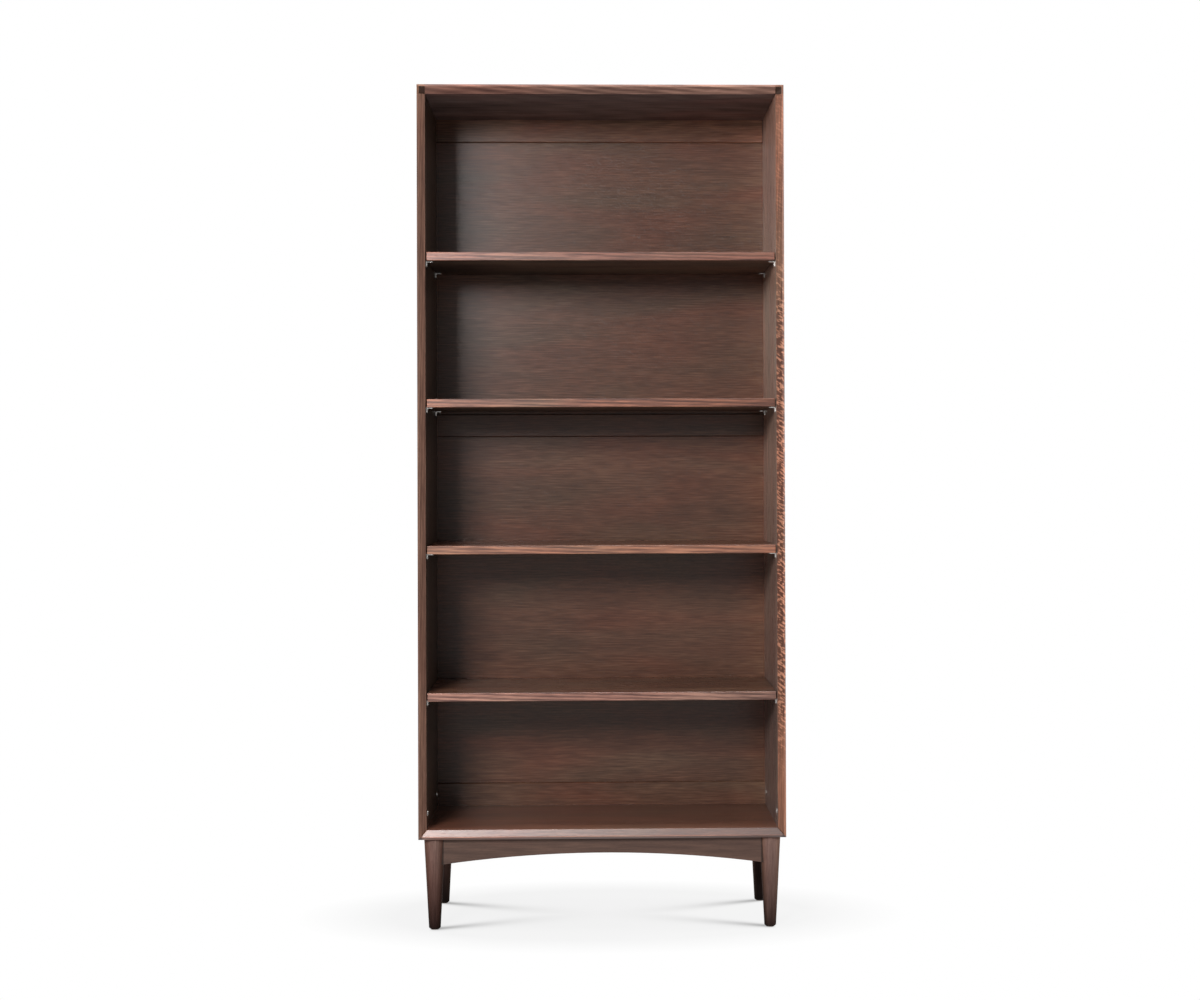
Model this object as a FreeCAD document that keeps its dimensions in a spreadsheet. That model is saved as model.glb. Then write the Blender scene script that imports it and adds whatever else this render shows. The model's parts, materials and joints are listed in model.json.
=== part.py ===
import FreeCAD, Part
import math
import os
import re

import Sketcher
from FreeCAD import Placement, Rotation, Vector

# Tall walnut bookcase: a mitred case with solid corner posts and a framed back, four shelves on
# nickel shelf supports in drilled side boards, and a base of turned tapered legs and aprons.
# Millimetres. Origin on the floor under the middle of the case, +X to the right, +Y to the back,
# +Z up.

doc = FreeCAD.newDocument("bookcase")
sheet = doc.addObject("Spreadsheet::Sheet", "Dims")

sizes = {
    # case
    "case_width": 800,
    "case_depth": 350,
    "overall_height": 1842,
    "base_height": 200,
    "board": 18,
    "level_board": 21,
    "case_bevel": 5,
    "front_land": 1,
    "front_fall": 4.5,
    "joint_bevel": 1,
    # loose tongues between the corner posts and the boards
    "tongue_thickness": 5,
    "tongue_reach": 6,
    "tongue_stop": 20,
    "tongue_play": 0.1,
    # framed back
    "rail_height": 53,
    "rail_thickness": 18,
    "rail_bevel": 2,
    "mid_rail_level": 1080,
    "back_panel_thickness": 6,
    "back_groove_depth": 7,
    "back_groove_play": 0.1,
    "back_edge_gap": 1,
    # shelf support holes
    "hole_pitch": 32,
    "hole_diameter": 5,
    "hole_depth": 11,
    "holes_per_shelf": 3,
    "hole_front_inset": 37,
    "hole_rear_inset": 45,
    "first_shelf_hole": 493,
    "steps_between_shelves": 10,
    # shelves
    "shelf_thickness": 18,
    "shelf_end_gap": 2,
    "shelf_front_recess": 10,
    "shelf_rear_gap": 2,
    "shelf_ease": 1,
    # shelf supports
    "support_plate": 2,
    "support_seat": 14,
    "support_width": 10,
    "support_drop": 12,
    "support_bend": 2,
    "support_pin_drop": 6,
    "support_pin_length": 9,
    "support_pin_play": 0.05,
    # corner fittings of the mitred bottom joint
    "cam_diameter": 15,
    "cam_depth": 12.5,
    "cam_inset": 31,
    "cam_rim": 0.8,
    "cam_rim_height": 1,
    "cam_socket": 6,
    "cam_socket_depth": 5,
    "cam_play": 0.1,
    "corner_bolt_diameter": 6,
    "corner_bolt_reach": 36,
    # legs
    "leg_side_inset": 33,
    "leg_depth_inset": 38,
    "leg_top_diameter": 46,
    "leg_foot_diameter": 25.5,
    "foot_chamfer": 2,
    "glide_diameter": 18,
    "glide_thickness": 2,
    "glide_nail_diameter": 2.5,
    "glide_nail_length": 14,
    "glide_nail_play": 0.05,
    # aprons and their tenons
    "apron_thickness": 20,
    "apron_face_offset": 13,
    "apron_middle_depth": 34,
    "apron_arch_rise": 26,
    "plain_apron_depth": 58,
    "shoulder_gap": 0.2,
    "tenon_thickness": 10,
    "tenon_height": 36,
    "tenon_drop": 8,
    "tenon_root": 11.5,
    "tenon_play": 0.1,
    # corner blocks, hanger bolts and base screws
    "block_height": 45,
    "block_thickness": 28,
    "block_gap": 0.2,
    "hanger_diameter": 8,
    "hanger_level": 26,
    "hanger_grip": 28,
    "hanger_play": 0.1,
    "washer_diameter": 22,
    "washer_thickness": 1.6,
    "nut_width": 13,
    "nut_height": 6.5,
    "nut_tail": 4,
    "base_screw_diameter": 4.5,
    "base_screw_head": 9,
    "base_screw_head_height": 3,
    "base_screw_grip": 12,
    "base_screw_spread": 20,
    "base_screw_play": 0.1,
}

shelf_count = 4

# lengths that follow from the sizes above
derived = {
    "inner_width": "case_width - 2 * board",
    "side_height": "overall_height - base_height - level_board",
    "ceiling": "overall_height - level_board",
    "floor_board_top": "base_height + level_board",
    "fall_start": "case_bevel + front_land",
    "level_fall_start": "fall_start * level_board / board",
    "rail_front": "case_depth - rail_thickness",
    "back_groove_front": "rail_front + (rail_thickness - back_groove_width) / 2",
    "back_groove_width": "back_panel_thickness + 2 * back_groove_play",
    "back_edge_reach": "back_groove_depth - back_edge_gap",
    "tongue_groove": "tongue_thickness + 2 * tongue_play",
    "shelf_width": "inner_width - 2 * shelf_end_gap",
    "shelf_depth": "rail_front - shelf_rear_gap - shelf_front_recess",
    "shelf_spacing": "steps_between_shelves * hole_pitch",
    "rear_hole_line": "case_depth - hole_rear_inset",
    "cam_level": "level_board + cam_inset",
    "cam_hole": "cam_diameter + 2 * cam_play",
    "corner_bolt_hole": "corner_bolt_diameter + 2 * cam_play",
    "level_bolt_hole": "corner_bolt_hole * level_board / board",
    "leg_x": "case_width / 2 - leg_side_inset",
    "leg_y": "case_depth / 2 - leg_depth_inset",
    "leg_length": "base_height - glide_thickness",
    "nail_hole": "glide_nail_diameter + 2 * glide_nail_play",
    "mortise_root": "tenon_root - tenon_play",
    "mortise_thickness": "tenon_thickness + 2 * tenon_play",
    "mortise_height": "tenon_height + 2 * tenon_play",
    "tenon_line": "apron_face_offset - apron_thickness / 2",
    "apron_inner": "apron_face_offset - apron_thickness",
    "block_near": "leg_top_diameter / 2 + block_gap",
    "block_far": "block_near + block_thickness",
    "hanger_hole": "hanger_diameter + 2 * hanger_play",
    "screw_hole": "base_screw_diameter + 2 * base_screw_play",
}

for row, (alias, size) in enumerate(sizes.items(), start=1):
    sheet.set(f"A{row}", alias)
    sheet.set(f"B{row}", str(size))
    sheet.setAlias(f"B{row}", alias)
doc.recompute()


def formula(text):
    # writes a formula of size names as an expression on the sheet
    def spell(match):
        word = match.group(0)
        if word in derived:
            return "(" + formula(derived[word]) + ")"
        if word in sizes:
            return "Dims." + word
        return word
    return re.sub(r"[a-z_]+", spell, str(text))


def number(text):
    return float(sheet.evalExpression(formula(text)))


def bind(thing, path, text):
    thing.setExpression(path, formula(text))


def new_body(label, x="0", y="0", z="0", turn=0):
    body = doc.addObject("PartDesign::Body", label)
    body.Label = label
    body.Placement = Placement(Vector(), Rotation(Vector(0, 0, 1), turn))
    bind(body, "Placement.Base.x", x)
    bind(body, "Placement.Base.y", y)
    bind(body, "Placement.Base.z", z)
    return body


def origin_feature(body, role):
    return next(item for item in body.Origin.OriginFeatures if item.Role == role)


def new_sketch(body, name, plane, lift="0"):
    sketch = body.newObject("Sketcher::SketchObject", name)
    sketch.AttachmentSupport = [(origin_feature(body, plane), "")]
    sketch.MapMode = "FlatFace"
    bind(sketch, "AttachmentOffset.Base.z", lift)
    return sketch


def pin_point(sketch, geometry, point, x, y):
    # fixes one point of a sketch at formulas measured from the sketch's origin
    for kind, axis, text in (("DistanceX", -2, x), ("DistanceY", -1, y)):
        if abs(number(text)) < 1e-9 and str(text) == "0":
            sketch.addConstraint(Sketcher.Constraint("PointOnObject", geometry, point, axis))
            continue
        index = sketch.addConstraint(
            Sketcher.Constraint(kind, -1, 1, geometry, point, number(text))
        )
        bind(sketch, f"Constraints[{index}]", text)


def draw_outline(sketch, corners):
    # closed outline of straight lines through corners given as formulas
    spots = [Vector(number(x), number(y), 0) for x, y in corners]
    first = sketch.GeometryCount
    for index, spot in enumerate(spots):
        sketch.addGeometry(Part.LineSegment(spot, spots[(index + 1) % len(spots)]))
    for index in range(len(spots)):
        after = first + (index + 1) % len(spots)
        sketch.addConstraint(Sketcher.Constraint("Coincident", first + index, 2, after, 1))
    for index, (x, y) in enumerate(corners):
        pin_point(sketch, first + index, 1, x, y)


def draw_rectangle(sketch, left, right, low, high):
    draw_outline(sketch, [(left, low), (right, low), (right, high), (left, high)])


def draw_circle(sketch, x, y, diameter):
    circle = Part.Circle(Vector(number(x), number(y), 0), Vector(0, 0, 1), number(diameter) / 2)
    index = sketch.addGeometry(circle)
    pin_point(sketch, index, 3, x, y)
    constraint = sketch.addConstraint(Sketcher.Constraint("Diameter", index, number(diameter)))
    bind(sketch, f"Constraints[{constraint}]", diameter)


def pad(body, name, sketch, length, against=False):
    feature = body.newObject("PartDesign::Pad", name)
    feature.Profile = sketch
    feature.Reversed = against
    bind(feature, "Length", length)
    doc.recompute()
    return feature


def pocket(body, name, sketch, length, along=False):
    # cuts away from the sketch's normal, or along it
    before = body.Tip.Shape.Volume
    feature = body.newObject("PartDesign::Pocket", name)
    feature.Profile = sketch
    feature.Reversed = along
    bind(feature, "Length", length)
    doc.recompute()
    if feature.Shape.Volume >= before:
        raise RuntimeError(f"{body.Label}: {name} removes nothing")
    return feature


def straight_edges(body, wanted, along=None):
    # names of the edges whose two ends satisfy the test, of one direction if asked
    names = []
    for index, edge in enumerate(body.Tip.Shape.Edges, start=1):
        ends = [vertex.Point for vertex in edge.Vertexes]
        if len(ends) != 2 or not all(wanted(end) for end in ends):
            continue
        if along and (ends[1] - ends[0]).cross(along).Length > 1e-4:
            continue
        names.append(f"Edge{index}")
    if not names:
        raise RuntimeError(f"{body.Label}: no such edge")
    return names


def bevel(body, name, size, wanted, along=None):
    base = body.Tip
    names = straight_edges(body, wanted, along)
    feature = body.newObject("PartDesign::Chamfer", name)
    feature.Base = (base, names)
    bind(feature, "Size", size)
    doc.recompute()
    return feature


def near(one, other):
    return abs(one - other) < 1e-4


def at_front(end):
    # on the case's front edge, which falls back towards the inside
    return end.y < number("front_fall") + 1e-4


# ---- case ----

def side_board(label, inward):
    # upright board; inward is +1 on the left and -1 on the right
    body = new_body(label, f"{-inward} * case_width / 2", "-case_depth / 2", "base_height")
    inner = f"{inward} * board"
    section = new_sketch(body, "section", "XZ_Plane")
    draw_outline(section, [("0", "0"), (inner, "level_board"), (inner, "side_height"),
                           ("0", "side_height")])
    pad(body, "upright", section, "case_depth", against=True)

    front = new_sketch(body, "front_fall_section", "XY_Plane")
    draw_outline(front, [(f"{inward} * fall_start", "0"), (inner, "0"), (inner, "front_fall")])
    pocket(body, "falling_front", front, "side_height", along=True)
    bevel(body, "outer_bevel", "case_bevel", lambda end: near(end.x, 0) and near(end.y, 0))
    top = number("side_height")
    mitre = number("level_board / board")
    bevel(body, "mitre_bevel", "joint_bevel",
          lambda end: at_front(end) and near(abs(end.x) * mitre, end.z))
    bevel(body, "upper_joint_bevel", "joint_bevel", lambda end: at_front(end) and near(end.z, top))

    groove = new_sketch(body, "back_groove_section", "XY_Plane")
    draw_rectangle(groove, f"{inward} * (board - back_groove_depth)", inner,
                   "back_groove_front", "back_groove_front + back_groove_width")
    pocket(body, "back_groove", groove, "side_height", along=True)

    tongue = new_sketch(body, "tongue_section", "XY_Plane", "side_height")
    draw_rectangle(tongue, f"{inward} * (board - tongue_groove) / 2",
                   f"{inward} * (board + tongue_groove) / 2",
                   "tongue_stop", "case_depth - tongue_stop")
    pocket(body, "tongue_groove", tongue, "tongue_reach")

    cams = new_sketch(body, "cam_centres", "YZ_Plane", inner)
    for line in ("hole_front_inset", "rear_hole_line"):
        draw_circle(cams, line, "cam_level", "cam_hole")
    pocket(body, "cam_holes", cams, "cam_depth", along=inward < 0)

    bolts = new_sketch(body, "corner_bolt_centres", "XY_Plane")
    for line in ("hole_front_inset", "rear_hole_line"):
        draw_circle(bolts, f"{inward} * board / 2", line, "corner_bolt_hole")
    pocket(body, "corner_bolt_holes", bolts, "cam_level", along=True)

    holes = new_sketch(body, "lowest_support_holes", "YZ_Plane", inner)
    for shelf in range(shelf_count):
        for line in ("hole_front_inset", "rear_hole_line"):
            draw_circle(holes, line,
                        f"{shelf_hole(shelf)} - base_height - (holes_per_shelf - 1) / 2 * hole_pitch",
                        "hole_diameter")
    first = pocket(body, "support_holes", holes, "hole_depth", along=inward < 0)
    row_of_holes(body, first)
    return body


def row_of_holes(body, first):
    pattern = body.newObject("PartDesign::LinearPattern", "support_hole_rows")
    pattern.Originals = [first]
    pattern.Direction = (origin_feature(body, "Z_Axis"), [""])
    bind(pattern, "Length", "(holes_per_shelf - 1) * hole_pitch")
    bind(pattern, "Occurrences", "holes_per_shelf")
    body.Tip = pattern
    doc.recompute()
    if pattern.Shape.Volume >= first.Shape.Volume:
        raise RuntimeError(f"{body.Label}: the hole rows are missing")


def shelf_hole(shelf):
    # level of the hole that carries a shelf, counted from the lowest
    return f"(first_shelf_hole + {shelf} * shelf_spacing)"


def shelf_underside(shelf):
    return f"({shelf_hole(shelf)} + support_pin_drop)"


def corner_post(label, inward):
    # post along the top edge, its end grain to the front
    body = new_body(label, f"{-inward} * case_width / 2", "-case_depth / 2", "ceiling")
    inner = f"{inward} * board"
    section = new_sketch(body, "section", "XZ_Plane")
    draw_rectangle(section, "0", inner, "0", "level_board")
    pad(body, "post", section, "case_depth", against=True)

    thick = number("level_board")
    bevel(body, "outer_bevels", "case_bevel",
          lambda end: near(end.y, 0) and (near(end.x, 0) or near(end.z, thick)))

    # the fronts of the two boards fall back towards the inside and meet in a crease on the post
    crease = body.newObject("PartDesign::SubtractiveWedge", "falling_front")
    reach = {"Xmin": "fall_start", "Xmax": "board"}
    if inward < 0:
        reach = {"Xmin": "-board", "Xmax": "-fall_start"}
    reach.update({"X2min": inner, "X2max": inner, "Ymin": "0", "Ymax": "front_fall", "Zmin": "0",
                  "Zmax": "level_board - level_fall_start", "Z2min": "0", "Z2max": "0"})
    for face, text in reach.items():
        bind(crease, face, text)
    doc.recompute()

    under = new_sketch(body, "lower_tongue_section", "XY_Plane")
    draw_rectangle(under, f"{inward} * (board - tongue_groove) / 2",
                   f"{inward} * (board + tongue_groove) / 2",
                   "tongue_stop", "case_depth - tongue_stop")
    pocket(body, "lower_tongue_groove", under, "tongue_reach", along=True)

    side = new_sketch(body, "inner_tongue_section", "YZ_Plane", inner)
    draw_rectangle(side, "tongue_stop", "case_depth - tongue_stop",
                   "(level_board - tongue_groove) / 2", "(level_board + tongue_groove) / 2")
    pocket(body, "inner_tongue_groove", side, "tongue_reach", along=inward < 0)
    return body


def top_board():
    body = new_body("top_panel", "0", "-case_depth / 2", "ceiling")
    section = new_sketch(body, "section", "XZ_Plane")
    draw_rectangle(section, "-inner_width / 2", "inner_width / 2", "0", "level_board")
    pad(body, "slab", section, "case_depth", against=True)

    thick = number("level_board")
    half = number("inner_width / 2")
    front = new_sketch(body, "front_fall_section", "YZ_Plane", "-inner_width / 2")
    draw_outline(front, [("0", "level_board - level_fall_start"), ("0", "0"), ("front_fall", "0")])
    pocket(body, "falling_front", front, "inner_width", along=True)
    bevel(body, "front_bevel", "case_bevel", lambda end: near(end.y, 0) and near(end.z, thick))
    bevel(body, "left_joint_bevel", "joint_bevel", lambda end: at_front(end) and near(end.x, -half))
    bevel(body, "right_joint_bevel", "joint_bevel", lambda end: at_front(end) and near(end.x, half))

    for name, plane_x, along in (("left", "-inner_width / 2", True), ("right", "inner_width / 2", False)):
        tongue = new_sketch(body, f"{name}_tongue_section", "YZ_Plane", plane_x)
        draw_rectangle(tongue, "tongue_stop", "case_depth - tongue_stop",
                       "(level_board - tongue_groove) / 2", "(level_board + tongue_groove) / 2")
        pocket(body, f"{name}_tongue_groove", tongue, "tongue_reach", along=along)
    return body


def bottom_board():
    # both ends mitred, the corner bolts' holes bored in from the mitres
    body = new_body("bottom_panel", "0", "-case_depth / 2", "base_height")
    section = new_sketch(body, "section", "XZ_Plane")
    draw_outline(section, [("-case_width / 2", "0"), ("case_width / 2", "0"),
                           ("inner_width / 2", "level_board"), ("-inner_width / 2", "level_board")])
    pad(body, "slab", section, "case_depth", against=True)

    front = new_sketch(body, "front_fall_section", "YZ_Plane", "-case_width / 2")
    draw_outline(front, [("0", "level_fall_start"), ("0", "level_board"), ("front_fall", "level_board")])
    pocket(body, "falling_front", front, "case_width", along=True)
    bevel(body, "front_bevel", "case_bevel", lambda end: near(end.y, 0) and near(end.z, 0))
    half = number("case_width / 2")
    mitre = number("board / level_board")
    bevel(body, "left_mitre_bevel", "joint_bevel",
          lambda end: at_front(end) and near(-end.x, half - end.z * mitre))
    bevel(body, "right_mitre_bevel", "joint_bevel",
          lambda end: at_front(end) and near(end.x, half - end.z * mitre))

    bolts = new_sketch(body, "corner_bolt_centres", "YZ_Plane", "-case_width / 2")
    for line in ("hole_front_inset", "rear_hole_line"):
        draw_circle(bolts, line, "level_board / 2", "level_bolt_hole")
    left = pocket(body, "corner_bolt_holes", bolts, "board + corner_bolt_reach", along=True)
    mirror = body.newObject("PartDesign::Mirrored", "right_corner_bolt_holes")
    mirror.Originals = [left]
    mirror.MirrorPlane = (origin_feature(body, "YZ_Plane"), [""])
    body.Tip = mirror
    doc.recompute()

    screws = new_sketch(body, "base_screw_centres", "XY_Plane")
    for x, y in base_screw_spots():
        draw_circle(screws, x, f"{y} + case_depth / 2", "screw_hole")
    pocket(body, "base_screw_holes", screws, "base_screw_grip", along=True)
    return body


# ---- framed back ----

def back_rail(label, level, grooved_above, grooved_below):
    # rail between the sides, with stub tenons in their grooves and grooves for the panels
    body = new_body(label, "0", "rail_front - case_depth / 2", level)
    front = new_sketch(body, "face", "XZ_Plane")
    draw_rectangle(front, "-inner_width / 2", "inner_width / 2", "0", "rail_height")
    pad(body, "rail", front, "rail_thickness", against=True)

    tall = number("rail_height")
    half = number("inner_width / 2")
    if grooved_above:
        bevel(body, "upper_bevel", "rail_bevel", lambda end: near(end.y, 0) and near(end.z, tall))
    if grooved_below:
        bevel(body, "lower_bevel", "rail_bevel", lambda end: near(end.y, 0) and near(end.z, 0))

    tenons = new_sketch(body, "tenon_section", "XY_Plane")
    reach = "(inner_width / 2 + back_edge_reach)"
    draw_rectangle(tenons, f"-{reach}", reach, "(rail_thickness - back_panel_thickness) / 2",
                   "(rail_thickness + back_panel_thickness) / 2")
    pad(body, "tenons", tenons, "rail_height")

    for wanted, name, lift, along in ((grooved_above, "upper", "rail_height", False),
                                      (grooved_below, "lower", "0", True)):
        if not wanted:
            continue
        groove = new_sketch(body, f"{name}_groove_section", "XY_Plane", lift)
        draw_rectangle(groove, f"-{reach}", reach, "(rail_thickness - back_groove_width) / 2",
                       "(rail_thickness + back_groove_width) / 2")
        pocket(body, f"{name}_groove", groove, "back_groove_depth", along=along)
    return body


def back_panel(label, low, high):
    # low and high are the rails' edges that the panel runs between
    body = new_body(label, "0", "back_groove_front + back_groove_play - case_depth / 2", low)
    face = new_sketch(body, "face", "XZ_Plane")
    draw_rectangle(face, "-(inner_width / 2 + back_edge_reach)", "inner_width / 2 + back_edge_reach",
                   "-back_edge_reach", f"{high} - {low} + back_edge_reach")
    pad(body, "panel", face, "back_panel_thickness", against=True)
    return body


# ---- shelves and their supports ----

def shelf(label, underside):
    body = new_body(label, "0", "shelf_front_recess - case_depth / 2", underside)
    section = new_sketch(body, "section", "XZ_Plane")
    draw_rectangle(section, "-shelf_width / 2", "shelf_width / 2", "0", "shelf_thickness")
    pad(body, "slab", section, "shelf_depth", against=True)
    bevel(body, "eased_front", "shelf_ease", lambda end: near(end.y, 0))
    return body


def shelf_support(label, inward, line, hole):
    # bent plate: a seat under the shelf, a flange on the side board and a pin in its hole
    body = new_body(label, f"{-inward} * inner_width / 2", f"{line} - case_depth / 2", hole)
    seat_top = "support_pin_drop"
    section = new_sketch(body, "section", "XZ_Plane", "support_width / 2")
    draw_outline(section, [
        ("0", seat_top),
        ("0", f"{seat_top} - support_drop"),
        (f"{inward} * support_plate", f"{seat_top} - support_drop"),
        (f"{inward} * support_plate", f"{seat_top} - support_plate"),
        (f"{inward} * support_seat", f"{seat_top} - support_plate"),
        (f"{inward} * support_seat", seat_top),
    ])
    pad(body, "plate", section, "support_width", against=True)

    plate = number("support_plate")
    inner_z = number("support_pin_drop - support_plate")
    rounding(body, "bend", "support_bend",
             lambda end: near(abs(end.x), plate) and near(end.z, inner_z))
    foot = number("support_pin_drop - support_drop")
    tip = number("support_seat")
    bevel(body, "clipped_flange", "support_plate",
          lambda end: near(end.z, foot), Vector(1, 0, 0))
    bevel(body, "clipped_seat", "support_plate",
          lambda end: near(abs(end.x), tip), Vector(0, 0, 1))

    pin = new_sketch(body, "pin_section", "YZ_Plane")
    draw_circle(pin, "0", "0", "hole_diameter - 2 * support_pin_play")
    pad(body, "pin", pin, "support_pin_length", against=inward > 0)
    return body


def rounding(body, name, size, wanted, along=None):
    base = body.Tip
    names = straight_edges(body, wanted, along)
    feature = body.newObject("PartDesign::Fillet", name)
    feature.Base = (base, names)
    bind(feature, "Radius", size)
    doc.recompute()
    return feature


# ---- base ----

def leg(label, x_side, y_side, turn):
    # turned leg; unturned it stands at the front left, its mortises to the right and the back
    body = new_body(label, f"{x_side} * leg_x", f"{y_side} * leg_y", "glide_thickness", turn)
    profile = new_sketch(body, "profile", "XZ_Plane")
    draw_outline(profile, [("0", "0"), ("leg_foot_diameter / 2", "0"),
                           ("leg_top_diameter / 2", "leg_length"), ("0", "leg_length")])
    turned = body.newObject("PartDesign::Revolution", "turning")
    turned.Profile = profile
    turned.ReferenceAxis = (origin_feature(body, "Z_Axis"), [""])
    turned.Angle = 360
    doc.recompute()

    foot = next(f"Edge{index}" for index, edge in enumerate(turned.Shape.Edges, start=1)
                if len(edge.Vertexes) == 1 and near(edge.Vertexes[0].Z, 0))
    chamfer = body.newObject("PartDesign::Chamfer", "chamfered_foot")
    chamfer.Base = (turned, [foot])
    bind(chamfer, "Size", "foot_chamfer")
    doc.recompute()

    high = "leg_length - tenon_drop + tenon_play"
    low = f"{high} - mortise_height"
    edges = ("-tenon_line - mortise_thickness / 2", "-tenon_line + mortise_thickness / 2")
    first = new_sketch(body, "right_mortise_section", "YZ_Plane", "mortise_root")
    draw_rectangle(first, edges[0], edges[1], low, high)
    pocket(body, "right_mortise", first, "leg_top_diameter", along=True)
    second = new_sketch(body, "rear_mortise_section", "XZ_Plane", "-mortise_root")
    draw_rectangle(second, edges[0], edges[1], low, high)
    pocket(body, "rear_mortise", second, "leg_top_diameter")

    nail = new_sketch(body, "nail_hole_section", "XY_Plane")
    draw_circle(nail, "0", "0", "nail_hole")
    pocket(body, "nail_hole", nail, "glide_nail_length", along=True)

    hanger_hole(body, "leg_top_diameter / 2 - hanger_grip", "hanger_grip + block_gap",
                "leg_length - hanger_level")
    return body


def hanger_hole(body, start, length, level):
    # bore along the diagonal from a leg's axis towards the middle of the case
    hole = body.newObject("PartDesign::SubtractiveCylinder", "hanger_hole")
    hole.Placement = Placement(Vector(), Rotation(Vector(0, 0, 1), Vector(1, 1, 0)))
    bind(hole, "Placement.Base.x", f"({start}) * sqrt(0.5)")
    bind(hole, "Placement.Base.y", f"({start}) * sqrt(0.5)")
    bind(hole, "Placement.Base.z", level)
    bind(hole, "Radius", "hanger_hole / 2")
    bind(hole, "Height", length)
    doc.recompute()


block_middle = "(block_near + block_far) / 2 * sqrt(0.5)"


def base_screw_spots():
    # two upright screws through each corner block, either side of its hanger bolt
    aside = "base_screw_spread * sqrt(0.5)"
    for x_side in (-1, 1):
        for y_side in (-1, 1):
            for shift in (-1, 1):
                yield (f"{x_side} * (leg_x - {block_middle} - {shift} * {aside})",
                       f"{y_side} * (leg_y - {block_middle} + {shift} * {aside})")


def apron(label, x, y, turn, half_span, depth):
    # board between two legs, scribed to their tapered rounds and tenoned into them
    body = new_body(label, x, y, "base_height", turn)
    face = new_sketch(body, "face", "XZ_Plane", "apron_face_offset")
    draw_rectangle(face, f"-{half_span}", half_span, f"-({depth})", "0")
    pad(body, "board", face, "apron_thickness", against=True)

    for side in (-1, 1):
        scribe = body.newObject("PartDesign::SubtractiveCone", "scribed_end")
        bind(scribe, "Placement.Base.x", f"{side} * {half_span}")
        bind(scribe, "Placement.Base.z", "-leg_length")
        bind(scribe, "Radius1", "leg_foot_diameter / 2 + shoulder_gap")
        bind(scribe, "Radius2", "leg_top_diameter / 2 + shoulder_gap")
        bind(scribe, "Height", "leg_length")
        doc.recompute()

        tenon = new_sketch(body, "tenon_section", "YZ_Plane", f"{side} * ({half_span} - tenon_root)")
        draw_rectangle(tenon, "-tenon_line - tenon_thickness / 2", "-tenon_line + tenon_thickness / 2",
                       "-tenon_drop - tenon_height", "-tenon_drop")
        pad(body, "tenon", tenon, "leg_top_diameter / 2 + shoulder_gap - tenon_root", against=side > 0)
    return body


def arched_apron(label, x, y, half_span):
    # the same board with a shallow arch that springs from the legs' axes
    body = apron(label, x, y, 0, half_span, "apron_middle_depth + apron_arch_rise")
    arch = new_sketch(body, "arch", "XZ_Plane", "apron_face_offset")
    foot = "-(apron_middle_depth + apron_arch_rise)"
    radius = f"({half_span} * {half_span} + apron_arch_rise * apron_arch_rise) / (2 * apron_arch_rise)"
    reach = number(half_span)
    bend = number(radius)
    lean = math.asin(reach / bend)
    middle = Vector(0, number("-apron_middle_depth") - bend, 0)
    circle = Part.Circle(middle, Vector(0, 0, 1), bend)
    curve = arch.addGeometry(Part.ArcOfCircle(circle, math.pi / 2 - lean, math.pi / 2 + lean))
    ends = (Vector(-reach, number(foot), 0), Vector(reach, number(foot), 0))
    chord = arch.addGeometry(Part.LineSegment(*ends))
    arch.addConstraint(Sketcher.Constraint("Coincident", curve, 2, chord, 1))
    arch.addConstraint(Sketcher.Constraint("Coincident", curve, 1, chord, 2))
    pin_point(arch, chord, 1, f"-{half_span}", foot)
    pin_point(arch, chord, 2, half_span, foot)
    size = arch.addConstraint(Sketcher.Constraint("Radius", curve, bend))
    bind(arch, f"Constraints[{size}]", radius)
    pocket(body, "arch_cut", arch, "apron_thickness")
    return body


def corner_block(label, x_side, y_side, turn):
    # glued block across the corner of the aprons, bored for its hanger bolt and two screws
    body = new_body(label, f"{x_side} * leg_x", f"{y_side} * leg_y", "base_height", turn)
    plan = new_sketch(body, "plan", "XY_Plane")
    back = "(-apron_inner)"
    draw_outline(plan, [
        (f"sqrt(2) * block_near - {back}", back),
        (f"sqrt(2) * block_far - {back}", back),
        (back, f"sqrt(2) * block_far - {back}"),
        (back, f"sqrt(2) * block_near - {back}"),
    ])
    pad(body, "block", plan, "block_height", against=True)
    hanger_hole(body, "block_near - hanger_play", "block_thickness + 2 * hanger_play", "-hanger_level")

    screws = new_sketch(body, "screw_centres", "XY_Plane")
    for shift in (-1, 1):
        x = f"{block_middle} + {shift} * base_screw_spread * sqrt(0.5)"
        y = f"{block_middle} - {shift} * base_screw_spread * sqrt(0.5)"
        draw_circle(screws, x, y, "screw_hole")
    pocket(body, "screw_holes", screws, "block_height")
    return body


# ---- small parts, each node a group of alike pieces ----

def round_bar(name, diameter, length, axis=Vector(0, 0, 1)):
    bar = doc.addObject("Part::Cylinder", name)
    bar.Placement = Placement(Vector(), Rotation(Vector(0, 0, 1), axis))
    bind(bar, "Radius", f"({diameter}) / 2")
    bind(bar, "Height", length)
    return bar


def put(thing, x, y, z):
    bind(thing, "Placement.Base.x", x)
    bind(thing, "Placement.Base.y", y)
    bind(thing, "Placement.Base.z", z)
    return thing


def fused(name, pieces):
    union = doc.addObject("Part::MultiFuse", name)
    union.Shapes = pieces
    return union


def bored(name, blank, tool):
    cut = doc.addObject("Part::Cut", name)
    cut.Base = blank
    cut.Tool = tool
    return cut


def group(label, pieces):
    node = doc.addObject("Part::Compound", label)
    node.Label = label
    node.Links = pieces
    return node


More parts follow.
